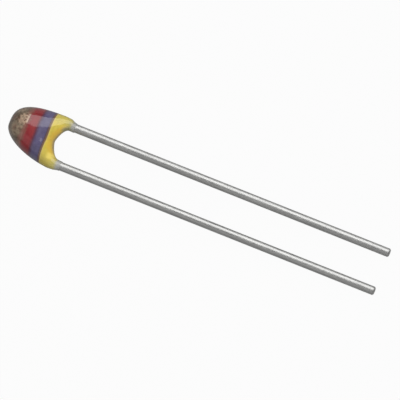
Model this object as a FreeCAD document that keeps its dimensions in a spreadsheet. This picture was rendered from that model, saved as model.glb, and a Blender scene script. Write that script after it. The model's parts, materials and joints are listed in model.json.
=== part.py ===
"""Radial NTC thermistor: a lacquered head with four colour-code bands on two tinned copper leads.

Final frame: the part lies at rest on the floor z = 0, held up by the belly of its head and by the
two lead tips. +X runs from the head to the lead tips, +Y to the left lead, +Z up. The origin lies
on the floor, midway between the leads and halfway along the part.

Construction frame: its origin is the centre of the arch between the two lacquered legs, X runs
along the leads toward their tips and Z through the head's thickness. The derived pose rest_pose,
which every section, slab and body carries, turns it into the final frame. Lengths are millimetres.
"""
import FreeCAD, Part
import math
import os

import Sketcher

SIZES = [
    ("pitch", 2.54, "between the two lead axes"),
    ("lead_diameter", 0.55, "tinned copper wire"),
    ("lead_length", 21.32, "bare lead, from the end of the lacquer to the tip"),
    ("tip_chamfer", 0.06, "rim of each tip, broken by the cutter"),
    ("crank_length", 0.95, "along the leads, where each is cranked inward inside the head"),
    ("crank_clearance", 0.05, "straight lead before it reaches the chip"),
    ("lead_setback", 0.25, "from the chip's far edge back to the lead's inner end"),
    ("chip_length", 1.5, "along the leads"),
    ("chip_height", 1.5, "through the head's thickness"),
    ("chip_thickness", 0.8, "between the two electrodes"),
    ("electrode_thickness", 0.03, "fired silver layer"),
    ("electrode_margin", 0.05, "bare rim of chip round each electrode"),
    ("solder_film", 0.03, "between lead and electrode where they are closest"),
    ("solder_margin", 0.05, "where lead and chip overlap, bare at both ends"),
    ("solder_hollow", 0.5, "radius of the hollow flanks of the solder"),
    ("solder_foot", 0.6, "from the lead's axis out to the toe of the solder"),
    ("lacquer_end", 0.35, "from the arch centre to the end of the lacquer on the leads"),
    ("lacquer_film", 0.03, "lacquer on the lead where it ends"),
    ("leg_taper", 1.5, "power of the legs' run-out, above one for a hollow one"),
    ("arch_depth", 0.62, "from the arch centre to the crown of the arch"),
    ("arch_fullness", 1.56, "power of the arch's outline, two for an ellipse"),
    ("inside_cover_left", 0.02, "lacquer on the arch side of the left lead"),
    ("inside_cover_right", 0.06, "lacquer on the arch side of the right lead"),
    ("outside_cover_left", 0.16, "lacquer on the outer side of the left lead"),
    ("outside_cover_right", 0.095, "lacquer on the outer side of the right lead"),
    ("fullness_left", 3.26, "power of the head's outline on the left, two for an ellipse"),
    ("fullness_right", 1.84, "power of the head's outline on the right"),
    ("saddle_cover", 0.58, "lacquer between the crown of the arch and the chip"),
    ("nose_cover", 0.93, "lacquer between the chip and the nose"),
    ("face_cover", 0.5, "lacquer above and below the chip"),
    ("paint_thickness", 0.05, "colour bands on the lacquer"),
    ("gold_length", 1.23, "gold cap, from the nose"),
    ("red_width", 0.73, "along the leads"),
    ("violet_width", 0.61, "along the leads"),
    ("yellow_width", 1.06, "along the leads"),
]

DERIVED = [
    ("lead_radius", "Sizes.lead_diameter / 2"),
    ("half_pitch", "Sizes.pitch / 2"),
    ("lead_tip", "Sizes.lacquer_end + Sizes.lead_length"),
    ("arch_half_left", "half_pitch - lead_radius - Sizes.inside_cover_left"),
    ("arch_half_right", "half_pitch - lead_radius - Sizes.inside_cover_right"),
    ("head_half_left", "half_pitch + lead_radius + Sizes.outside_cover_left"),
    ("head_half_right", "half_pitch + lead_radius + Sizes.outside_cover_right"),
    ("chip_near", "Sizes.arch_depth + Sizes.saddle_cover"),
    ("chip_middle", "chip_near + Sizes.chip_length / 2"),
    ("head_reach", "chip_near + Sizes.chip_length + Sizes.nose_cover"),
    ("head_half_thick", "Sizes.chip_height / 2 + Sizes.face_cover"),
    ("electrode_face", "Sizes.chip_thickness / 2 + Sizes.electrode_thickness"),
    ("electrode_middle", "(Sizes.chip_thickness + Sizes.electrode_thickness) / 2"),
    ("electrode_length", "Sizes.chip_length - 2 * Sizes.electrode_margin"),
    ("electrode_height", "Sizes.chip_height - 2 * Sizes.electrode_margin"),
    ("lead_seat", "electrode_face + Sizes.solder_film + lead_radius"),
    ("crank_end", "chip_near - Sizes.crank_clearance"),
    ("crank_start", "crank_end - Sizes.crank_length"),
    ("lead_inner_end", "chip_near + Sizes.chip_length - Sizes.lead_setback"),
    ("solder_length", "lead_inner_end - chip_near - 2 * Sizes.solder_margin"),
    ("slab_span", "3 * Sizes.pitch"),
    ("belly_x", "-(head_reach + Sizes.arch_depth) / 2"),
    ("belly_half_length", "(head_reach - Sizes.arch_depth) / 2 + Sizes.paint_thickness"),
    ("belly_half_thick", "head_half_thick + Sizes.paint_thickness"),
    ("tip_span", "lead_tip - Sizes.tip_chamfer - belly_x"),
    ("span_square", "tip_span * tip_span - belly_half_length * belly_half_length"),
    ("drop_square", "belly_half_thick * belly_half_thick - lead_radius * lead_radius"),
    ("tip_moment", "lead_radius * tip_span"),
    ("rest_slope",
     "(sqrt(tip_moment * tip_moment + span_square * drop_square) - tip_moment) / span_square"),
    ("belly_drop", "sqrt(pow(belly_half_length * rest_slope; 2) + pow(belly_half_thick; 2))"),
    ("rest_lift", "(rest_slope * belly_x + belly_drop) * cos(atan(rest_slope))"),
    ("middle_x", "(lead_tip - head_reach - Sizes.paint_thickness) / 2"),
]

REST_POSE = ("placement(vector(-middle_x; 0; rest_lift);"
             " rotation(vector(0; 1; 0); atan(rest_slope)))")

LEAD_SIDES = (("left", 1), ("right", -1))
FAN_STEP = 9
TOUCH = 1e-6
QUARTER_TURN = 90
LEG_STATIONS = (1.0, 0.5)

doc = FreeCAD.newDocument("ntc_thermistor")
sheet = doc.addObject("Spreadsheet::Sheet", "Sizes")
derived = doc.addObject("App::VarSet", "Derived")


def fill_sheet():
    """One row for each driving size: its word, its number and what it measures."""
    for row, (alias, number, meaning) in enumerate(SIZES, start=1):
        sheet.set(f"A{row}", alias)
        sheet.set(f"B{row}", str(number))
        sheet.set(f"C{row}", meaning)
        sheet.setAlias(f"B{row}", alias)
    doc.recompute()


def fill_derived():
    """Lengths that follow from the driving sizes, and the pose in which the part rests."""
    for name, expression in DERIVED:
        derived.addProperty("App::PropertyFloat", name, "Derived")
        derived.setExpression(name, expression)
    derived.addProperty("App::PropertyPlacement", "rest_pose", "Derived")
    derived.setExpression("rest_pose", REST_POSE)
    doc.recompute()


def number(expression):
    """The present value of an expression, for a sketch's first drawing."""
    return float(derived.evalExpression(expression))


def place(item, across="0", along="0", roll="0"):
    """Puts a body or solid at a place of the construction frame, rolled about the leads' direction."""
    local = f"placement(vector({along}; {across}; 0); rotation(0; 0; {roll}))"
    item.setExpression("Placement", f"Derived.rest_pose * {local}")


def side_roll(sign):
    """Half a turn about the leads' direction makes a right-hand piece of a left-hand one."""
    return "0" if sign > 0 else "180"


def add_sketch(body, name, role, height=None):
    """A sketch on one of the body's own origin planes, raised along that plane's normal."""
    sketch = body.newObject("Sketcher::SketchObject", name)
    plane = next(item for item in body.Origin.OriginFeatures if item.Role == role)
    sketch.AttachmentSupport = (plane, [""])
    sketch.MapMode = "FlatFace"
    if height:
        sketch.setExpression("AttachmentOffset.Base.z", height)
    return sketch


def tie(sketch, *constraints):
    """Adds constraints that hold no size."""
    for kind, *where in constraints:
        sketch.addConstraint(Sketcher.Constraint(kind, *where))


def measure(sketch, name, kind, where, expression):
    """Adds a constraint whose size is an expression of the sheet."""
    index = sketch.addConstraint(Sketcher.Constraint(kind, *where, number(expression)))
    sketch.renameConstraint(index, name)
    sketch.setExpression(f"Constraints.{name}", expression)


def point(x, y):
    return FreeCAD.Vector(x, y, 0)


def make_block(name, length, width, height, across="0"):
    """A rectangular plate centred on the chip's middle: length along the leads, height upright."""
    body = doc.addObject("PartDesign::Body", name)
    sketch = add_sketch(body, f"{name}_outline", "XY_Plane")
    x = number(length) / 2
    y = number(width) / 2
    corners = [point(-x, -y), point(x, -y), point(x, y), point(-x, y)]
    for corner, following in zip(corners, corners[1:] + corners[:1]):
        sketch.addGeometry(Part.LineSegment(corner, following))
    tie(sketch,
        ("Coincident", 0, 2, 1, 1), ("Coincident", 1, 2, 2, 1),
        ("Coincident", 2, 2, 3, 1), ("Coincident", 3, 2, 0, 1),
        ("Horizontal", 0), ("Vertical", 1), ("Horizontal", 2), ("Vertical", 3),
        ("Symmetric", 0, 1, 2, 1, -1, 1))
    measure(sketch, "length", "DistanceX", (0, 1, 0, 2), length)
    measure(sketch, "width", "DistanceY", (1, 1, 1, 2), width)
    pad = body.newObject("PartDesign::Pad", f"{name}_pad")
    pad.Profile = sketch
    pad.SideType = "Symmetric"
    pad.setExpression("Length", height)
    place(body, along="-Derived.chip_middle", across=across)
    return body


def make_lead(name, sign):
    """Round wire: bare to its tip, then cranked inward inside the head to lie on its electrode."""
    body = doc.addObject("PartDesign::Body", name)
    path = add_sketch(body, f"{name}_axis", "XY_Plane")
    tip = number("Derived.lead_tip")
    outer = number("Derived.half_pitch")
    seat = number("Derived.lead_seat")
    corners = [
        point(tip, outer),
        point(number("Sizes.lacquer_end"), outer),
        point(-number("Derived.crank_start"), outer),
        point(-number("Derived.crank_end"), seat),
        point(-number("Derived.lead_inner_end"), seat),
    ]
    for corner, following in zip(corners, corners[1:]):
        path.addGeometry(Part.LineSegment(corner, following))
    bare, covered, crank, seated = range(4)
    sketch_origin = (-1, 1)
    tie(path,
        ("Coincident", bare, 2, covered, 1), ("Coincident", covered, 2, crank, 1),
        ("Coincident", crank, 2, seated, 1),
        ("Horizontal", bare), ("Horizontal", covered), ("Horizontal", seated))
    measure(path, "tip", "DistanceX", (*sketch_origin, bare, 1), "Derived.lead_tip")
    measure(path, "lacquer_end", "DistanceX", (*sketch_origin, bare, 2), "Sizes.lacquer_end")
    measure(path, "outer", "DistanceY", (*sketch_origin, bare, 1), "Derived.half_pitch")
    measure(path, "crank_start", "DistanceX", (crank, 1, *sketch_origin), "Derived.crank_start")
    measure(path, "crank_end", "DistanceX", (crank, 2, *sketch_origin), "Derived.crank_end")
    measure(path, "inner_end", "DistanceX", (seated, 2, *sketch_origin), "Derived.lead_inner_end")
    measure(path, "seat", "DistanceY", (*sketch_origin, seated, 2), "Derived.lead_seat")

    section = add_sketch(body, f"{name}_section", "YZ_Plane", height="Derived.lead_tip")
    normal = FreeCAD.Vector(0, 0, 1)
    section.addGeometry(Part.Circle(point(outer, 0), normal, number("Derived.lead_radius")))
    tie(section, ("PointOnObject", 0, 3, -1))
    measure(section, "radius", "Radius", (0,), "Derived.lead_radius")
    measure(section, "outer", "DistanceX", (*sketch_origin, 0, 3), "Derived.half_pitch")

    pipe = body.newObject("PartDesign::AdditivePipe", f"{name}_wire")
    pipe.Profile = section
    pipe.Spine = path
    pipe.Transition = "Right corner"
    pipe.Refine = False
    doc.recompute()
    rim = next(f"Edge{index}" for index, edge in enumerate(pipe.Shape.Edges, start=1)
               if edge.isClosed() and abs(edge.CenterOfMass.x - tip) < TOUCH)
    cut_rim = body.newObject("PartDesign::Chamfer", f"{name}_tip")
    cut_rim.Base = (pipe, [rim])
    cut_rim.Refine = False
    cut_rim.setExpression("Size", "Sizes.tip_chamfer")
    place(body, roll=side_roll(sign))
    return body


def make_solder(name, sign):
    """A pad of solder between lead and electrode, with hollow flanks up to the lead's middle."""
    body = doc.addObject("PartDesign::Body", name)
    sketch = add_sketch(body, f"{name}_profile", "YZ_Plane")
    face = number("Derived.electrode_face")
    seat = number("Derived.lead_seat")
    wire = number("Derived.lead_radius")
    foot = number("Sizes.solder_foot")
    hollow = number("Sizes.solder_hollow")
    chord = FreeCAD.Vector(seat - face, wire - foot, 0)
    outward = FreeCAD.Vector(-chord.y, chord.x, 0).normalize()
    reach = math.sqrt(hollow ** 2 - (chord.Length / 2) ** 2)
    centre = point(face, foot) + chord / 2 + outward * reach
    normal = FreeCAD.Vector(0, 0, 1)
    toe_angle = math.atan2(foot - centre.y, face - centre.x)
    rim_angle = math.atan2(wire - centre.y, seat - centre.x)
    upper = Part.Circle(centre, normal, hollow)
    lower = Part.Circle(point(centre.x, -centre.y), normal, hollow)
    around = Part.Circle(point(seat, 0), normal, wire)
    base, upper_flank, bed, lower_flank = range(4)
    sketch.addGeometry([
        Part.LineSegment(point(face, -foot), point(face, foot)),
        Part.ArcOfCircle(upper, toe_angle, rim_angle),
        Part.ArcOfCircle(around, math.pi / 2, 3 * math.pi / 2),
        Part.ArcOfCircle(lower, -rim_angle, -toe_angle),
    ])
    tie(sketch,
        ("Coincident", base, 2, upper_flank, 1), ("Coincident", upper_flank, 2, bed, 1),
        ("Coincident", bed, 2, lower_flank, 1), ("Coincident", lower_flank, 2, base, 1),
        ("PointOnObject", bed, 3, -1), ("Vertical", bed, 1, bed, 3), ("Vertical", bed, 2, bed, 3),
        ("Symmetric", base, 1, base, 2, -1), ("Equal", upper_flank, lower_flank))
    measure(sketch, "face", "DistanceX", (-1, 1, base, 1), "Derived.electrode_face")
    measure(sketch, "seat", "DistanceX", (-1, 1, bed, 3), "Derived.lead_seat")
    measure(sketch, "wire", "Radius", (bed,), "Derived.lead_radius")
    measure(sketch, "width", "DistanceY", (base, 1, base, 2), "2 * Sizes.solder_foot")
    measure(sketch, "hollow", "Radius", (upper_flank,), "Sizes.solder_hollow")
    pad = body.newObject("PartDesign::Pad", f"{name}_pad")
    pad.Profile = sketch
    pad.setExpression("Length", "Derived.solder_length")
    place(body, along="Sizes.solder_margin - Derived.lead_inner_end", roll=side_roll(sign))
    return body


def superellipse(along, across, fullness, turn):
    """Distance from the arch centre to a rounded outline, turn degrees from the nose."""
    return (f"pow(pow(cos({turn}) / ({along}); {fullness})"
            f" + pow(abs(sin({turn})) / ({across}); {fullness}); -1 / {fullness})")


def add_oval(name, middle, half_width, half_thick, turn, along="0"):
    """One closed section: an oval whose width points away from the leads' axis at this turn."""
    oval = doc.addObject("Part::Scale", name)
    oval.Base = unit_ring
    oval.Uniform = False
    oval.setExpression("XScale", half_width)
    oval.setExpression("YScale", half_thick)
    place_x = f"{along} - cos({turn}) * ({middle})"
    place_y = f"sin({turn}) * ({middle})"
    local = (f"placement(vector({place_x}; {place_y}; 0);"
             f" rotation({2 * QUARTER_TURN - turn}; 0; {QUARTER_TURN}))")
    oval.setExpression("Placement", f"Derived.rest_pose * {local}")
    return oval


def fan_section(name, turn, build_up):
    """The head's section in a plane through the arch centre, from the arch out to the skin."""
    side = "left" if turn >= 0 else "right"
    inner = superellipse("Sizes.arch_depth", f"Derived.arch_half_{side}",
                         "Sizes.arch_fullness", turn)
    outer = superellipse("Derived.head_reach", f"Derived.head_half_{side}",
                         f"Sizes.fullness_{side}", turn)
    leg = f"(Derived.head_half_{side} - Derived.arch_half_{side}) / 2"
    half_thick = f"{leg} + (Derived.head_half_thick - {leg}) * pow(cos({turn}); 2)"
    return add_oval(name, f"({inner} + {outer}) / 2", f"({outer} - {inner}) / 2 + {build_up}",
                    f"{half_thick} + {build_up}", turn)


def leg_section(name, side, sign, station, build_up):
    """A round section of one leg between the arch and the lacquer's end, where station is one."""
    left_over = f"pow({1 - station}; Sizes.leg_taper)"
    leg = f"(Derived.head_half_{side} - Derived.arch_half_{side}) / 2"
    leg_middle = f"(Derived.head_half_{side} + Derived.arch_half_{side}) / 2"
    end = "Derived.lead_radius + Sizes.lacquer_film"
    middle = f"Derived.half_pitch + ({leg_middle} - Derived.half_pitch) * {left_over}"
    half = f"{end} + ({leg} - {end}) * {left_over} + {build_up}"
    return add_oval(name, middle, half, half, sign * QUARTER_TURN,
                    along=f"{station} * Sizes.lacquer_end")


def make_horseshoe(name, build_up):
    """Ovals led up one leg, fanned round the head and led down the other, joined by ruled skins."""
    legs = {side: [leg_section(f"{name}_{side}_leg_{index}", side, sign, station, build_up)
                   for index, station in enumerate(LEG_STATIONS)]
            for side, sign in LEAD_SIDES}
    fan = [fan_section(f"{name}_fan_{index}", turn, build_up)
           for index, turn in enumerate(range(-QUARTER_TURN, QUARTER_TURN + 1, FAN_STEP))]
    loft = doc.addObject("Part::Loft", name)
    loft.Sections = legs["right"] + fan + legs["left"][::-1]
    loft.Solid = True
    loft.Ruled = True
    return loft


def make_band(name, start, width):
    """Paint between two planes across the leads: start is measured from the arch to the nose."""
    slab = doc.addObject("Part::Box", f"{name}_slab")
    slab.setExpression("Length", width)
    slab.setExpression("Width", "Derived.slab_span")
    slab.setExpression("Height", "Derived.slab_span")
    corner = f"vector(-({start}); -Derived.slab_span / 2; -Derived.slab_span / 2)"
    slab.setExpression("Placement", f"Derived.rest_pose * placement({corner}; rotation(0; 0; 0))")
    band = doc.addObject("Part::Common", name)
    band.Base = paint_shell
    band.Tool = slab
    band.Refine = False
    return band


def check(item):
    """Stops the build where a sub-part failed or came out as anything but one sound solid."""
    shape = item.Shape
    if shape.isNull() or not shape.isValid() or len(shape.Solids) != 1:
        raise RuntimeError(f"{item.Label} is not one valid solid")


fill_sheet()
fill_derived()

chip = make_block("ntc_chip", "Sizes.chip_length", "Sizes.chip_thickness", "Sizes.chip_height")
core_pieces = [chip]
for side, sign in LEAD_SIDES:
    core_pieces.append(make_block(
        f"electrode_{side}", "Derived.electrode_length", "Sizes.electrode_thickness",
        "Derived.electrode_height", across=f"{sign} * Derived.electrode_middle"))
    core_pieces.append(make_solder(f"solder_{side}", sign))
    core_pieces.append(make_lead(f"lead_{side}", sign))

unit_ring = doc.addObject("Part::Circle", "unit_ring")
unit_ring.Radius = 1
lacquer_skin = make_horseshoe("lacquer_skin", "0")
paint_skin = make_horseshoe("paint_skin", "Sizes.paint_thickness")
paint_shell = doc.addObject("Part::Cut", "paint_shell")
paint_shell.Base = paint_skin
paint_shell.Tool = lacquer_skin
core = doc.addObject("Part::MultiFuse", "core")
core.Shapes = core_pieces
coating = doc.addObject("Part::Cut", "lacquer_coating")
coating.Base = lacquer_skin
coating.Tool = core

nose = "Derived.head_reach + Sizes.paint_thickness"
gold_edge = "Derived.head_reach - Sizes.gold_length"
red_edge = f"{gold_edge} - Sizes.red_width"
violet_edge = f"{red_edge} - Sizes.violet_width"
bands = [
    make_band("gold_cap", nose, "Sizes.gold_length + Sizes.paint_thickness"),
    make_band("red_band", gold_edge, "Sizes.red_width"),
    make_band("violet_band", red_edge, "Sizes.violet_width"),
    make_band("yellow_band", violet_edge, "Sizes.yellow_width"),
]

doc.recompute()
for item in doc.Objects:
    if "Invalid" in item.State or "Error" in item.State:
        raise RuntimeError(f"{item.Label} could not be computed")
sub_parts = core_pieces + [coating] + bands
for item in sub_parts:
    check(item)

os.makedirs("parts", exist_ok=True)
for item in sub_parts:
    item.Shape.exportStep(f"parts/{item.Label}.step")
    print(f"{item.Label}: {item.Shape.Volume:.4f} mm3, {len(item.Shape.Faces)} faces")
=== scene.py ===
"""Looks of the radial NTC thermistor: lacquered head, four colour bands and two tinned leads.

The construction frame is the one the solids were drawn in: its origin is the centre of the arch
between the legs, X runs along the leads toward their tips, Y toward the left lead and Z through
the head's thickness. Lengths there are millimetres. POSE turns it into the row's frame, in metres.
"""
import bmesh
import bpy
import json
import math
from typing import Any, NamedTuple
from mathutils import Matrix, Vector


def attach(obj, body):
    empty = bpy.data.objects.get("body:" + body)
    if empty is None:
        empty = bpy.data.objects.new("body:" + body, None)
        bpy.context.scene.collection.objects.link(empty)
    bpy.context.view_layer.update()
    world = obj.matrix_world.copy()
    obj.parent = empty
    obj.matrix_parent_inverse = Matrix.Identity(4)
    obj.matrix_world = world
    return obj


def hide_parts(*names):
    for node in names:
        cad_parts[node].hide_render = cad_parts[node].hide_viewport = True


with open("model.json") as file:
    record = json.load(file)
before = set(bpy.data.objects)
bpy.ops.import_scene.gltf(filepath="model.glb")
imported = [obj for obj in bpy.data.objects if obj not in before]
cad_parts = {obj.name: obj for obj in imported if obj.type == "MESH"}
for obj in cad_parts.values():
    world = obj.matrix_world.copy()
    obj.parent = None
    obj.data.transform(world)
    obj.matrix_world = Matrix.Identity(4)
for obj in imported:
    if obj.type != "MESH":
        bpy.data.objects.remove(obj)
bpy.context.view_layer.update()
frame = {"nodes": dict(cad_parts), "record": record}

MM = 0.001

# Driving sizes, the same as the solids have
PITCH = 2.54
LEAD_RADIUS = 0.275
LEAD_LENGTH = 21.32
TIP_CHAMFER = 0.06
LACQUER_END = 0.35
LACQUER_FILM = 0.03
LEG_TAPER = 1.5
ARCH_DEPTH = 0.62
ARCH_FULLNESS = 1.56
CHIP_LENGTH = 1.5
CHIP_THICKNESS = 0.8
CHIP_HEIGHT = 1.5
ELECTRODE = 0.03
SOLDER_FILM = 0.03
SADDLE_COVER = 0.58
NOSE_COVER = 0.93
FACE_COVER = 0.5
LEAD_SETBACK = 0.25
CRANK_LENGTH = 0.95
CRANK_CLEARANCE = 0.05
PAINT = 0.05
GOLD_LENGTH = 1.23
RED_WIDTH = 0.73
VIOLET_WIDTH = 0.61
YELLOW_WIDTH = 1.06
SIDES = {
    "left": {"sign": 1, "inside": 0.02, "outside": 0.16, "fullness": 3.26},
    "right": {"sign": -1, "inside": 0.06, "outside": 0.095, "fullness": 1.84},
}

# Places that follow from them
LEAD_AXIS = PITCH / 2
LEAD_TIP = LACQUER_END + LEAD_LENGTH
CHIP_NEAR = ARCH_DEPTH + SADDLE_COVER
HEAD_REACH = CHIP_NEAR + CHIP_LENGTH + NOSE_COVER
HEAD_HALF_THICK = CHIP_HEIGHT / 2 + FACE_COVER
LEAD_SEAT = CHIP_THICKNESS / 2 + ELECTRODE + SOLDER_FILM + LEAD_RADIUS
CRANK_END = -(CHIP_NEAR - CRANK_CLEARANCE)
CRANK_START = CRANK_END + CRANK_LENGTH
LEAD_INNER_END = -(CHIP_NEAR + CHIP_LENGTH - LEAD_SETBACK)
GOLD_EDGE = -(HEAD_REACH - GOLD_LENGTH)
RED_EDGE = GOLD_EDGE + RED_WIDTH
VIOLET_EDGE = RED_EDGE + VIOLET_WIDTH
YELLOW_EDGE = VIOLET_EDGE + YELLOW_WIDTH

# How finely the surfaces are drawn
FAN_STEPS = 90
LEG_STEPS = 10
RING_STEPS = 96
WIRE_RING = 64
WIRE_STEPS = 24
SHARP_EDGE = math.radians(35)
SAME_POINT = 0.0002

# Each band with its edge toward the nose and its edge toward the leads
EDGES = {
    "gold_cap": (None, ("gold", GOLD_EDGE)),
    "red_band": (("gold", GOLD_EDGE), ("red", RED_EDGE)),
    "violet_band": (("red", RED_EDGE), ("violet", VIOLET_EDGE)),
    "yellow_band": (("violet", VIOLET_EDGE), ("yellow", YELLOW_EDGE)),
}

# Hand-laid paint: each edge wanders along Y and along Z by a swing in mm, with its pace and lag
WANDER = {
    "gold": ((0.012, 2.3, 0.4), (0.010, 3.1, 1.7)),
    "red": ((0.008, 1.9, 2.1), (0.008, 3.6, 0.3)),
    "violet": ((0.006, 2.6, 1.2), (0.006, 2.9, 2.6)),
    "yellow": ((0.012, 2.2, 0.9), (0.010, 4.1, 0.2)),
}

# The yellow paint thins out toward the leads: where that begins, and how much is gone at its edge
THIN_FROM = -0.5
THINNED = 0.04


def find_pose():
    """The row's frame from the record: the lead pattern's axis and the middle of the bare leads."""
    pattern = next(mount for mount in frame["record"]["mounts"] if mount["name"] == "leads")
    along = Vector(pattern["axis"])
    upright = along.cross(Vector((0, 1, 0)))
    middle = (LACQUER_END + LEAD_TIP - TIP_CHAMFER) / 2
    origin = Vector(pattern["pos_m"]) - along * middle * MM
    turn = Matrix((along, Vector((0, 1, 0)), upright)).transposed()
    return Matrix.Translation(origin) @ turn.to_4x4() @ Matrix.Scale(MM, 4)


POSE = find_pose()


def superellipse(along, across, fullness, turn):
    """Distance from the arch centre to a rounded outline, turn radians from the nose."""
    reach = abs(math.cos(turn) / along) ** fullness + abs(math.sin(turn) / across) ** fullness
    return reach ** (-1 / fullness)


def leg_faces(side):
    """How far a leg's arch face and its outer face lie from the middle line, at the arch centre."""
    return LEAD_AXIS - LEAD_RADIUS - side["inside"], LEAD_AXIS + LEAD_RADIUS + side["outside"]


def side_at(turn):
    """The side of the head that a turn from the nose lies on."""
    return SIDES["left" if turn >= 0 else "right"]


def fan_oval(turn):
    """Middle, half width and half thickness of the head's section through the arch centre."""
    side = side_at(turn)
    arch_face, outer_face = leg_faces(side)
    inner = superellipse(ARCH_DEPTH, arch_face, ARCH_FULLNESS, turn)
    outer = superellipse(HEAD_REACH, outer_face, side["fullness"], turn)
    leg = (outer_face - arch_face) / 2
    thick = leg + (HEAD_HALF_THICK - leg) * math.cos(turn) ** 2
    return (inner + outer) / 2, (outer - inner) / 2, thick


def leg_ovals(side):
    """A leg's round sections, from the lacquer's end to the head, where station comes to zero.

    Each has its turn from the nose, its place along the lead, its middle and its half sizes.
    """
    arch_face, outer_face = leg_faces(side)
    head_middle, head_half = (outer_face + arch_face) / 2, (outer_face - arch_face) / 2
    end_half = LEAD_RADIUS + LACQUER_FILM
    ovals = []
    for step in range(LEG_STEPS):
        station = 1 - step / LEG_STEPS
        left_over = (1 - station) ** LEG_TAPER
        middle = LEAD_AXIS + (head_middle - LEAD_AXIS) * left_over
        half = end_half + (head_half - end_half) * left_over
        ovals.append((side["sign"] * math.pi / 2, station * LACQUER_END, middle, half, half))
    return ovals


def horseshoe_rings(build_up):
    """Rings of points round the coating, from the right leg's end round the head to the left's."""
    turns = [math.pi * (step / FAN_STEPS - 0.5) for step in range(FAN_STEPS + 1)]
    ovals = (leg_ovals(SIDES["right"]) + [(turn, 0, *fan_oval(turn)) for turn in turns]
             + leg_ovals(SIDES["left"])[::-1])
    rings = []
    for turn, along, middle, half, thick in ovals:
        ring = []
        for step in range(RING_STEPS):
            angle = 2 * math.pi * step / RING_STEPS
            reach = middle + (half + build_up) * math.cos(angle)
            ring.append(Vector((along - math.cos(turn) * reach, math.sin(turn) * reach,
                                (thick + build_up) * math.sin(angle))))
        rings.append(ring)
    return rings


def add_tube(bm, rings, capped):
    """Draws faces between rings of equal length, with a cap at each end where asked."""
    rows = [[bm.verts.new(point) for point in ring] for ring in rings]
    count = len(rows[0])
    for row, following in zip(rows, rows[1:]):
        for step in range(count):
            other = (step + 1) % count
            bm.faces.new((row[step], row[other], following[other], following[step]))
    if capped:
        bm.faces.new(rows[0][::-1])
        bm.faces.new(rows[-1])
    bmesh.ops.recalc_face_normals(bm, faces=bm.faces)


def finish_piece(bm, name, replaced):
    """Turns the drawn mesh into a piece of the row that stands for one solid.

    Each point keeps its place in the construction frame, as "lay", for the materials.
    """
    lay = bm.verts.layers.float_vector.new("lay")
    for vertex in bm.verts:
        vertex[lay] = vertex.co
    for edge in bm.edges:
        edge.smooth = len(edge.link_faces) == 2 and edge.calc_face_angle() < SHARP_EDGE
    for face in bm.faces:
        face.smooth = True
    bm.transform(POSE)
    mesh = bpy.data.meshes.new(name)
    bm.to_mesh(mesh)
    bm.free()
    piece = bpy.data.objects.new(name, mesh)
    bpy.context.scene.collection.objects.link(piece)
    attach(piece, "root")
    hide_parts(replaced)
    return piece


def make_coat():
    """The grey lacquer under the bands, which shows at the ends of the legs."""
    bm = bmesh.new()
    add_tube(bm, horseshoe_rings(0), capped=True)
    return finish_piece(bm, "head_coat", "lacquer_coating")


def edge_shift(name, point):
    """How far the edge of this name lies from its plane, at a point of the surface."""
    (swing_y, pace_y, lag_y), (swing_z, pace_z, lag_z) = WANDER[name]
    return (swing_y * math.sin(pace_y * point.y + lag_y)
            + swing_z * math.sin(pace_z * point.z + lag_z))


def cut_skin(bm, edge, at, keep_nose_side):
    """Cuts the skin along a wandering edge across the leads and drops one side."""
    for vertex in bm.verts:
        vertex.co.x -= edge_shift(edge, vertex.co)
    bmesh.ops.bisect_plane(
        bm, geom=bm.verts[:] + bm.edges[:] + bm.faces[:], plane_co=(at, 0, 0), plane_no=(1, 0, 0),
        clear_outer=keep_nose_side, clear_inner=not keep_nose_side)
    for vertex in bm.verts:
        vertex.co.x += edge_shift(edge, vertex.co)


def thinned_at(point):
    """How much of the paint is gone at a point, in mm: it eases in toward the yellow's edge."""
    share = min(max((point.x - THIN_FROM) / (YELLOW_EDGE - THIN_FROM), 0), 1)
    return THINNED * (share * share * (3 - 2 * share))


def thicken(bm):
    """Sinks an open skin where its paint thins out, backs it on the lacquer and closes the rims."""
    normal_layer = bm.verts.layers.float_vector["skin_normal"]
    front = bm.verts[:]
    front_faces = bm.faces[:]
    rims = [edge for edge in bm.edges if len(edge.link_faces) == 1]
    back = {}
    for vertex in front:
        normal = vertex[normal_layer].normalized()
        back[vertex] = bm.verts.new(vertex.co - normal * PAINT)
        vertex.co -= normal * thinned_at(vertex.co)
    for face in front_faces:
        bm.faces.new([back[vertex] for vertex in reversed(face.verts)])
    for edge in rims:
        first, second = edge.verts
        bm.faces.new((first, second, back[second], back[first]))
    bmesh.ops.recalc_face_normals(bm, faces=bm.faces)


def make_band(name):
    """One colour band: a thin closed shell on the lacquer between two wandering edges."""
    nose_edge, near_edge = EDGES[name]
    bm = bmesh.new()
    add_tube(bm, horseshoe_rings(PAINT), capped=False)
    bm.normal_update()
    normal_layer = bm.verts.layers.float_vector.new("skin_normal")
    for vertex in bm.verts:
        vertex[normal_layer] = vertex.normal
    if nose_edge:
        cut_skin(bm, *nose_edge, keep_nose_side=False)
    cut_skin(bm, *near_edge, keep_nose_side=True)
    bmesh.ops.remove_doubles(bm, verts=bm.verts, dist=SAME_POINT)
    thicken(bm)
    return finish_piece(bm, f"{name}_skin", name)


def wire_ring(centre, direction, cut, radius, sign):
    """Points round a lead where it is cut by a plane through its axis at centre."""
    across = Vector((-direction.y, direction.x))
    ring = []
    for step in range(WIRE_RING):
        angle = 2 * math.pi * step / WIRE_RING
        side_step = across * radius * math.cos(angle)
        slide = -side_step.dot(cut) / direction.dot(cut)
        place = centre + side_step + direction * slide
        ring.append(Vector((place.x, sign * place.y, radius * math.sin(angle))))
    return ring


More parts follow.
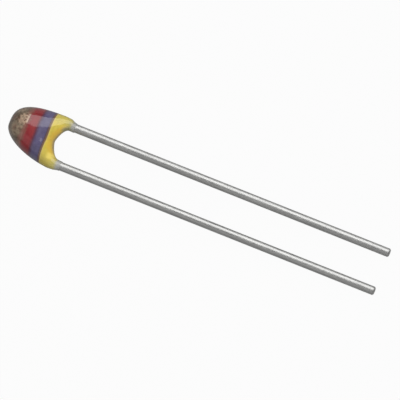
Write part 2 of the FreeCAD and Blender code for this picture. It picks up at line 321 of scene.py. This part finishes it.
def make_lead(side_name):
    """Round tinned wire, chamfered at its tip and cranked inward inside the head."""
    sign = SIDES[side_name]["sign"]
    tip, bend, seat, inner_end = (
        Vector((LEAD_TIP, LEAD_AXIS)), Vector((CRANK_START, LEAD_AXIS)),
        Vector((CRANK_END, LEAD_SEAT)), Vector((LEAD_INNER_END, LEAD_SEAT)))
    inward = (bend - tip).normalized()
    crank = (seat - bend).normalized()
    along_chip = (inner_end - seat).normalized()
    shoulder = tip + inward * TIP_CHAMFER
    rings = [wire_ring(tip, inward, inward, LEAD_RADIUS - TIP_CHAMFER, sign)]
    for step in range(WIRE_STEPS):
        place = shoulder.lerp(bend, step / WIRE_STEPS)
        rings.append(wire_ring(place, inward, inward, LEAD_RADIUS, sign))
    for corner, arriving, leaving in ((bend, inward, crank), (seat, crank, along_chip)):
        mitre = (arriving + leaving).normalized()
        rings.append(wire_ring(corner, arriving, mitre, LEAD_RADIUS, sign))
    rings.append(wire_ring(inner_end, along_chip, along_chip, LEAD_RADIUS, sign))
    bm = bmesh.new()
    add_tube(bm, rings, capped=True)
    return finish_piece(bm, f"lead_{side_name}_wire", f"lead_{side_name}")


def screen_colour(red, green, blue):
    """A colour as a screen shows it, 0 to 255, in the linear values that a shader takes."""
    def linear(value):
        share = value / 255
        return share / 12.92 if share <= 0.04045 else ((share + 0.055) / 1.055) ** 2.4
    return (linear(red), linear(green), linear(blue), 1)


def set_input(tree, socket, value):
    """Links the socket to another socket, or gives it a plain value."""
    if isinstance(value, bpy.types.NodeSocket):
        tree.links.new(value, socket)
    else:
        socket.default_value = value


def add_node(tree, kind, inputs=(), **attributes):
    """A node with its attributes set, and with each input given a value or linked to a socket."""
    node = tree.nodes.new(kind)
    for name, value in attributes.items():
        setattr(node, name, value)
    for name, value in inputs:
        set_input(tree, node.inputs[name], value)
    return node


class StainOrPaintedLight(NamedTuple):
    """A colour laid over a paint where each of its slopes has been climbed: a real stain or paint
    mix, or painted shade or a painted highlight.

    A slope names a distance stored on the surface, with the place in mm where the stain begins
    and the place where it is full. Noise of so many swells per mm, times its gain in mm, makes
    the stain's edge ragged.
    """
    colour: Any
    slopes: tuple
    strength: float = 1.0
    swells: float = 0.0
    gain: float = 0.0


# What most of a noise's values lie between, and how much its finer swells count
NOISE_LOW = 0.3
NOISE_HIGH = 0.7
NOISE_ROUGHNESS = 0.55

# Where the dark, the middle and the light tone of a mottled paint lie in its noise
MOTTLE_STOPS = (0.30, 0.50, 0.72)


class Look:
    """One procedural material: its shader, and short ways to add nodes in the surface's own frame.

    A surface that was laid out by finish_piece is laid, and any other takes its object's frame.
    Colours are screen colours, or sockets that carry a colour.
    """

    def __init__(self, name, laid=True, **settings):
        self.laid = laid
        self.material = bpy.data.materials.new(name)
        self.material.use_nodes = True
        self.tree = self.material.node_tree
        self.shader = self.tree.nodes["Principled BSDF"]
        for socket, value in settings.items():
            self.shader.inputs[socket.replace("_", " ")].default_value = value

    def place(self, stretch):
        """The point of the surface in millimetres, drawn out as asked."""
        if self.laid:
            spot = add_node(self.tree, "ShaderNodeAttribute", attribute_name="lay").outputs["Vector"]
        else:
            spot = add_node(self.tree, "ShaderNodeTexCoord").outputs["Object"]
            stretch = tuple(share / MM for share in stretch)
        return add_node(self.tree, "ShaderNodeMapping",
                        (("Vector", spot), ("Scale", stretch))).outputs["Vector"]

    def gap(self, name):
        """Distance in millimetres stored on the surface under this name."""
        return add_node(self.tree, "ShaderNodeAttribute", attribute_name=name).outputs["Fac"]

    def noise(self, swells, stretch=(1, 1, 1), detail=3):
        """Noise from zero to one, with so many swells per mm."""
        return add_node(self.tree, "ShaderNodeTexNoise", (
            ("Vector", self.place(stretch)), ("Scale", swells), ("Detail", detail),
            ("Roughness", NOISE_ROUGHNESS))).outputs["Fac"]

    def sum(self, first, second, gain):
        """First plus gain times second."""
        return add_node(self.tree, "ShaderNodeMath", ((0, second), (1, gain), (2, first)),
                        operation="MULTIPLY_ADD").outputs[0]

    def product(self, first, *others):
        """All the values multiplied."""
        for other in others:
            first = add_node(self.tree, "ShaderNodeMath", ((0, first), (1, other)),
                             operation="MULTIPLY").outputs[0]
        return first

    def fade(self, value, start, end, low=0.0, high=1.0):
        """Goes smoothly from low to high as value goes from start to end."""
        return add_node(self.tree, "ShaderNodeMapRange", (
            ("Value", value), ("From Min", start), ("From Max", end), ("To Min", low),
            ("To Max", high)), interpolation_type="SMOOTHSTEP").outputs["Result"]

    def ramp(self, value, *stops):
        """Blends from one colour to the next: each stop is a value and its colour."""
        ramp = add_node(self.tree, "ShaderNodeValToRGB", (("Fac", value),))
        elements = ramp.color_ramp.elements
        for index, (position, colour) in enumerate(stops):
            element = elements[index] if index < 2 else elements.new(position)
            element.position = position
            element.color = screen_colour(*colour)
        return ramp.outputs["Color"]

    def mix(self, share, first, second):
        """The first colour where share is zero and the second where it is one."""
        node = add_node(self.tree, "ShaderNodeMix", (("Factor", share),), data_type="RGBA")
        colours = [socket for socket in node.inputs if socket.type == "RGBA"]
        for socket, value in zip(colours, (first, second)):
            set_input(self.tree, socket,
                      screen_colour(*value) if isinstance(value, tuple) else value)
        return next(socket for socket in node.outputs if socket.type == "RGBA")

    def with_stains_and_painted_light(self, under, stains_and_painted_light):
        """The colour under the stains and painted light, with each of them laid over it in turn."""
        for stain_or_painted_light in stains_and_painted_light:
            shares = []
            for name, start, full in stain_or_painted_light.slopes:
                distance = self.gap(name)
                if stain_or_painted_light.gain:
                    distance = self.sum(distance, self.noise(stain_or_painted_light.swells), stain_or_painted_light.gain)
                high = 1.0 if shares else stain_or_painted_light.strength
                shares.append(self.fade(distance, start, full, 0.0, high))
            under = self.mix(self.product(*shares), under, stain_or_painted_light.colour)
        return under

    def mottled(self, tones, swells=2.4):
        """A paint colour that is a little uneven, as a brushed ring is."""
        return self.ramp(self.noise(swells, detail=4), *zip(MOTTLE_STOPS, tones))

    def colour(self, value):
        """Sets the surface's colour."""
        self.tree.links.new(value, self.shader.inputs["Base Color"])

    def roughness(self, noise, low, high):
        """Sets a roughness that goes from low to high with the noise."""
        self.tree.links.new(self.fade(noise, NOISE_LOW, NOISE_HIGH, low, high),
                            self.shader.inputs["Roughness"])

    def bump(self, height, depth, strength, coat=False):
        """Raises the surface, and its clear coat if asked, by up to depth in mm."""
        normal = add_node(self.tree, "ShaderNodeBump", (
            ("Height", height), ("Distance", depth * MM), ("Strength", strength)),
            ).outputs["Normal"]
        self.tree.links.new(normal, self.shader.inputs["Normal"])
        if coat:
            self.tree.links.new(normal, self.shader.inputs["Coat Normal"])


# The clear gloss over the lacquer and the paints
LACQUER_GLOSS = {"Coat_Weight": 1.0, "Coat_Roughness": 0.04, "Coat_IOR": 1.6,
                 "Specular_IOR_Level": 0.15}

# Dark, middle and light tones of each paint, as a screen shows them
GREY_TONES = ((126, 126, 118), (143, 143, 138), (158, 158, 154))
YELLOW_TONES = ((188, 172, 68), (198, 178, 72), (206, 186, 82))
VIOLET_TONES = ((72, 66, 96), (82, 75, 107), (90, 84, 111))
RED_TONES = ((116, 28, 33), (127, 32, 38), (133, 42, 44))
YELLOW_WASH = (198, 178, 74)

# Other colours: the gold's and the tin's with their places in the noise that they follow
GOLD_TONES = ((0.12, (82, 66, 50)), (0.40, (110, 95, 77)), (0.62, (130, 114, 96)),
              (0.88, (152, 134, 112)))
GOLD_REDDISH = (122, 84, 72)
# Painted highlight: the colour of the key lamp's glint on the gold's flakes
GOLD_PAINTED_GLINT = (180, 154, 130)
TIN_TONES = ((0.0, (188, 188, 187)), (0.5, (203, 203, 201)), (1.0, (216, 216, 214)))
CERAMIC_TONES = ((0.35, (44, 44, 46)), (0.65, (70, 70, 72)))
SILVER_TONES = ((0.3, (186, 184, 176)), (0.7, (216, 214, 208)))
SOLDER_TONES = ((0.3, (150, 150, 150)), (0.7, (186, 186, 186)))

# In this order: warm orange by the arch, painted shade and inter-reflection in the saddle; darker on
# the right flank, painted shade on the side away from the key lamp; duller on the left flank; greyish
# at the arch's rim; and a pale spot on the right leg, a painted highlight
YELLOW_TINTS_AND_PAINTED_LIGHT = (
    # Painted shade and inter-reflection: warm orange by the arch
    StainOrPaintedLight((214, 178, 64), (("arch_gap", 0.60, 0.34),), swells=2.6, gain=0.3),
    # Painted shade: darker on the right flank, away from the key lamp
    StainOrPaintedLight((168, 152, 72), (("across", -0.95, -1.35),), 0.7),
    StainOrPaintedLight((178, 166, 82), (("across", 1.05, 1.50),), 0.6),
    # Greyish at the arch's rim
    StainOrPaintedLight((142, 134, 110), (("arch_gap", 0.09, 0.02),), 0.5),
    # Painted highlight: a pale spot on the right leg
    StainOrPaintedLight((232, 210, 106), (("across", -0.66, -0.86), ("across", -1.20, -1.02),
                            ("along", -0.72, -0.50), ("along", -0.10, -0.28)), 0.8),
)

# A painted highlight, a pale margin where the paint's raised edge catches the light, and a brown
# line, along the yellow's edge toward the nose
YELLOW_EDGE_HIGHLIGHT_AND_LINE = (
    # Painted highlight: a pale margin along the edge
    StainOrPaintedLight((202, 180, 126), (("nose_gap", 0.18, 0.12),), 0.3),
    StainOrPaintedLight((104, 80, 68), (("nose_gap", 0.13, 0.07),)),
)

# Each band takes some of its neighbours' colours along its edges
VIOLET_STAINS = (
    StainOrPaintedLight((78, 44, 66), (("nose_gap", 0.22, 0.02),), 0.9, swells=3.4, gain=0.08),
    StainOrPaintedLight((76, 60, 64), (("near_gap", 0.06, 0.02),), 0.9),
)
RED_STAINS = (
    StainOrPaintedLight((78, 42, 58), (("near_gap", 0.22, 0.03),), 0.9, swells=4.5, gain=0.08),
    StainOrPaintedLight((116, 72, 62), (("nose_gap", 0.38, 0.14),), 0.9, swells=4.5, gain=0.35),
)
GOLD_STAINS = (
    StainOrPaintedLight((136, 82, 74), (("near_gap", 0.55, 0.22),), 0.75, swells=4.5, gain=0.45),
)


def wash_out(look, paint):
    """The yellow wash runs out over the grey, past its edge; in the fork, on the left leg's arch
    side, the surface turns a darker greenish grey.
    """
    ragged = {"swells": 2.6, "gain": 0.3}
    return look.with_stains_and_painted_light(paint, (
        StainOrPaintedLight((168, 160, 92), (("along", -0.34, 0.14),), 0.8, **ragged),
        StainOrPaintedLight(look.mottled(GREY_TONES), (("along", 0.06, 0.38),), **ragged),
        StainOrPaintedLight((120, 124, 104), (("across", 0.62, 0.92), ("arch_gap", 0.36, 0.14),
                                ("along", -0.55, -0.20), ("along", 0.26, 0.08)), 0.7)))


def brushed_surface(look):
    """The roughness and the low swells of a brushed paint."""
    look.roughness(look.noise(4), 0.32, 0.48)
    look.bump(look.noise(1.8), 0.03, 0.5, coat=True)


def lacquer_look():
    """Grey dipped lacquer with the yellow wash on it."""
    look = Look("grey_lacquer", **LACQUER_GLOSS)
    look.colour(wash_out(look, YELLOW_WASH))
    look.roughness(look.noise(3), 0.35, 0.5)
    look.bump(look.noise(2.2), 0.02, 0.5, coat=True)
    return look.material


def yellow_look():
    """Yellow paint that runs out toward the leads, with painted shade and painted highlights laid on
    it.
    """
    look = Look("yellow_ring", **LACQUER_GLOSS)
    paint = look.with_stains_and_painted_light(look.mottled(YELLOW_TONES), YELLOW_TINTS_AND_PAINTED_LIGHT)
    look.colour(look.with_stains_and_painted_light(wash_out(look, paint), YELLOW_EDGE_HIGHLIGHT_AND_LINE))
    brushed_surface(look)
    return look.material


def ring_look(name, tones, swells, stains_and_painted_light):
    """A plain colour ring with stains along its edges."""
    look = Look(name, **LACQUER_GLOSS)
    look.colour(look.with_stains_and_painted_light(look.mottled(tones, swells), stains_and_painted_light))
    brushed_surface(look)
    return look.material


def gold_look():
    """Gold paint in coarse flakes, reddish here and there, with a painted highlight on the left: a
    lighter patch that stands for the key lamp's glint.
    """
    look = Look("gold_tip", Metallic=0.3, **LACQUER_GLOSS)
    flakes = look.sum(look.noise(1.9, detail=2), look.noise(6), 0.5)
    body = look.ramp(look.fade(flakes, 0.42, 1.08), *GOLD_TONES)
    reddish = look.fade(look.noise(2.8, detail=2), 0.5, 0.66, 0.0, 0.5)
    paint = look.with_stains_and_painted_light(look.mix(reddish, body, GOLD_REDDISH), GOLD_STAINS)
    across = look.sum(look.gap("across"), look.noise(6.5, detail=4), 0.9)
    from_red = look.sum(look.gap("near_gap"), look.noise(5.5, detail=4), 0.9)
    # Painted highlight: a lighter patch on the left side, toward the key lamp, near the red edge
    glint_patch = look.product(look.fade(across, 0.72, 0.92), look.fade(across, 1.55, 1.35),
                         look.fade(from_red, 1.20, 0.90), look.fade(look.noise(8), 0.36, 0.54))
    look.colour(look.mix(glint_patch, paint, GOLD_PAINTED_GLINT))
    look.roughness(look.noise(6), 0.36, 0.58)
    look.bump(look.sum(look.noise(6, detail=2), look.noise(14), 0.3), 0.02, 0.35)
    return look.material


def tinned_look():
    """Drawn tin: fine streaks along the wire over wider patches."""
    look = Look("tinned_wire", Metallic=1.0)
    streaks = look.noise(1.0, stretch=(0.35, 26, 26))
    patches = look.noise(1.0, stretch=(0.8, 5, 5), detail=2)
    tone = look.fade(look.sum(streaks, patches, 0.6), 0.45, 1.1)
    look.colour(look.ramp(tone, *TIN_TONES))
    look.roughness(streaks, 0.40, 0.50)
    look.bump(look.sum(streaks, patches, 0.3), 0.006, 0.2)
    return look.material


def ceramic_look():
    """Matt sintered oxide."""
    look = Look("oxide_ceramic", laid=False, Roughness=0.8)
    look.colour(look.ramp(look.noise(9, detail=5), *CERAMIC_TONES))
    look.bump(look.noise(16), 0.01, 0.6)
    return look.material


def metal_film_look(name, tones, smoothest, roughest):
    """A thin layer of satin metal."""
    look = Look(name, laid=False, Metallic=1.0)
    grain = look.noise(12, detail=4)
    look.colour(look.ramp(grain, *tones))
    look.roughness(grain, smoothest, roughest)
    look.bump(grain, 0.008, 0.6)
    return look.material


def store_gaps(piece, nose_edge, near_edge):
    """Writes on each point how far it lies from the band's edges, the arch and the arch centre."""
    mesh = piece.data
    names = ("nose_gap", "near_gap", "arch_gap", "along", "across")
    for name in names:
        mesh.attributes.new(name, "FLOAT", "POINT")
    gaps = {name: [0.0] * len(mesh.vertices) for name in names}
    for index, lay in enumerate(mesh.attributes["lay"].data):
        point = Vector(lay.vector)
        turn = math.atan2(point.y, max(-point.x, 0))
        arch_face, _ = leg_faces(side_at(turn))
        inner = superellipse(ARCH_DEPTH, arch_face, ARCH_FULLNESS, turn)
        gaps["arch_gap"][index] = math.hypot(min(point.x, 0), point.y) - inner + PAINT
        gaps["along"][index] = point.x
        gaps["across"][index] = point.y
        if nose_edge:
            edge, at = nose_edge
            gaps["nose_gap"][index] = point.x - at - edge_shift(edge, point)
        edge, at = near_edge
        gaps["near_gap"][index] = at + edge_shift(edge, point) - point.x
    for name in names:
        mesh.attributes[name].data.foreach_set("value", gaps[name])


def dress_nodes():
    """Gives materials to the solids inside the head, which stay as they are."""
    looks = {
        "ntc_chip": ceramic_look(),
        "electrode": metal_film_look("fired_silver", SILVER_TONES, 0.4, 0.55),
        "solder": metal_film_look("soft_solder", SOLDER_TONES, 0.3, 0.45),
    }
    for name, node in frame["nodes"].items():
        for kind, look in looks.items():
            if name.startswith(kind):
                node.data.materials.clear()
                node.data.materials.append(look)


def make_object():
    """Draws the lacquered head, its four bands and the two leads, each with its material."""
    coat = make_coat()
    store_gaps(coat, None, ("yellow", YELLOW_EDGE))
    coat.data.materials.append(lacquer_look())
    band_looks = {
        "gold_cap": ("gold_paint", gold_look()),
        "red_band": ("red_paint", ring_look("red_ring", RED_TONES, 2.0, RED_STAINS)),
        "violet_band": ("violet_paint", ring_look("violet_ring", VIOLET_TONES, 2.4, VIOLET_STAINS)),
        "yellow_band": ("yellow_paint", yellow_look()),
    }
    for name, (slot, look) in band_looks.items():
        band = make_band(name)
        store_gaps(band, *EDGES[name])
        band.data.materials.append(look)
    tinned = tinned_look()
    for side_name in SIDES:
        lead = make_lead(side_name)
        lead.data.materials.append(tinned)


# The photograph's view, in the construction frame: the camera leans toward the lead tips. The
# field is the width seen, in mm
AIM = Vector((9.345, -0.012, 0))
LEAN = math.radians(10)
ROLL = math.radians(21.7)
FIELD = 24.876
LENS = 1000
SENSOR = 36
CLIP_START = 0.01


class Lamp(NamedTuple):
    """A long lamp that runs along the leads: angles in degrees and its length in metres.

    The angle is measured about the leads from the camera's side, and the span is the angle that
    the lamp fills. The twist brings its end beside the lead tips nearer to the camera.
    """
    angle: float
    span: float
    length: float
    radiance: float
    glossy: bool
    twist: float = 0.0


# How far the lamps hang from the leads, in metres
LAMP_DISTANCE = 0.15
LAMPS = {
    "key": Lamp(angle=44, span=55, length=0.28, radiance=1.75, glossy=True, twist=9),
    "low": Lamp(angle=-44, span=62, length=0.4, radiance=0.25, glossy=True),
    "fill": Lamp(angle=0, span=70, length=0.4, radiance=1.05, glossy=False),
}

# The white background: what lights the object, and the shares seen directly and in mirrors
WORLD_GLOW = 0.17
WORLD_SEEN = 1.0
WORLD_MIRRORED = 0.0
FLOOR_SIZE = 2
FLOOR_PALE = 0.25
FLOOR_SEEN = 0.96
FLOOR_MIRRORED = 0.05
WHITE = (1, 1, 1, 1)


def view_axes():
    """Row-frame directions: toward the camera, along the leads and across them in the image."""
    turn = POSE.to_3x3().normalized()
    toward = turn @ Vector((math.sin(LEAN), 0, math.cos(LEAN)))
    along = turn @ Vector((math.cos(LEAN), 0, -math.sin(LEAN)))
    return toward, along, Vector((0, 1, 0))


def hold(name, data, place, axes):
    """Puts a camera or a lamp at a place: the axes are its right, its up and its backward way."""
    holder = bpy.data.objects.new(name, data)
    turn = Matrix(axes).transposed().to_4x4()
    holder.matrix_world = Matrix.Translation(place) @ turn
    bpy.context.scene.collection.objects.link(holder)
    return holder


def make_camera():
    """A long lens far off, rolled as the photograph is."""
    toward, along, across = view_axes()
    right = along * math.cos(ROLL) + across * math.sin(ROLL)
    camera = bpy.data.cameras.new("camera")
    camera.lens = LENS
    camera.sensor_width = SENSOR
    camera.clip_start = CLIP_START
    distance = FIELD * MM * LENS / SENSOR
    bpy.context.scene.camera = hold("camera", camera, POSE @ AIM + toward * distance,
                                    (right, toward.cross(right), toward))


def add_softbox(name, softbox):
    """Hangs one of the long lamps beside the leads."""
    toward, along, across = view_axes()
    angle, twist = math.radians(softbox.angle), math.radians(softbox.twist)
    out = toward * math.cos(angle) + across * math.sin(angle)
    length_way = along * math.cos(twist) - out.cross(along) * math.sin(twist)
    width = 2 * LAMP_DISTANCE * math.tan(math.radians(softbox.span) / 2)
    lamp = bpy.data.lights.new(name, "AREA")
    lamp.shape = "RECTANGLE"
    lamp.size = softbox.length
    lamp.size_y = width
    lamp.energy = softbox.radiance * math.pi * softbox.length * width
    holder = hold(name, lamp, POSE @ AIM + out * LAMP_DISTANCE,
                  (length_way, out.cross(length_way), out))
    holder.visible_glossy = softbox.glossy


def show_background(tree, seen_share, mirrored_share):
    """How much of the white background a ray meets: one share for the camera, one for mirrors."""
    path = add_node(tree, "ShaderNodeLightPath").outputs
    mirrors = add_node(tree, "ShaderNodeMath", (
        (0, path["Is Glossy Ray"]), (1, path["Is Transmission Ray"])), operation="ADD").outputs[0]
    in_mirrors = add_node(tree, "ShaderNodeMath", ((0, mirrors), (1, mirrored_share)),
                          operation="MULTIPLY").outputs[0]
    return add_node(tree, "ShaderNodeMath", (
        (0, path["Is Camera Ray"]), (1, seen_share), (2, in_mirrors)),
        operation="MULTIPLY_ADD").outputs[0]


def light_scene():
    """The lamps, and a world that is white to the camera and dim as a light."""
    for name, softbox in LAMPS.items():
        add_softbox(name, softbox)
    world = bpy.data.worlds.new("studio")
    bpy.context.scene.world = world
    world.use_nodes = True
    tree = world.node_tree
    background = tree.nodes["Background"]
    strength = add_node(tree, "ShaderNodeMapRange", (
        ("Value", show_background(tree, WORLD_SEEN, WORLD_MIRRORED)), ("To Min", WORLD_GLOW),
        ("To Max", 1.0))).outputs["Result"]
    set_input(tree, background.inputs["Strength"], strength)
    set_input(tree, background.inputs["Color"], WHITE)


def make_floor():
    """A matt floor that is dim as a light and nearly white to the camera, so no shadow shows."""
    bm = bmesh.new()
    bmesh.ops.create_grid(bm, x_segments=1, y_segments=1, size=FLOOR_SIZE)
    mesh = bpy.data.meshes.new("floor")
    bm.to_mesh(mesh)
    bm.free()
    floor = bpy.data.objects.new("floor", mesh)
    bpy.context.scene.collection.objects.link(floor)
    material = bpy.data.materials.new("pale_floor")
    material.use_nodes = True
    tree = material.node_tree
    matt = tree.nodes["Principled BSDF"]
    set_input(tree, matt.inputs["Base Color"], (FLOOR_PALE, FLOOR_PALE, FLOOR_PALE, 1))
    set_input(tree, matt.inputs["Roughness"], 1)
    set_input(tree, matt.inputs["Specular IOR Level"], 0)
    glow = add_node(tree, "ShaderNodeEmission")
    shown = add_node(tree, "ShaderNodeMixShader", (
        ("Fac", show_background(tree, FLOOR_SEEN, FLOOR_MIRRORED)),
        (1, matt.outputs["BSDF"]), (2, glow.outputs["Emission"])))
    tree.links.new(shown.outputs["Shader"], tree.nodes["Material Output"].inputs["Surface"])
    floor.data.materials.append(material)


make_object()
dress_nodes()
make_camera()
light_scene()
make_floor()
bpy.context.scene.view_settings.view_transform = "Standard"
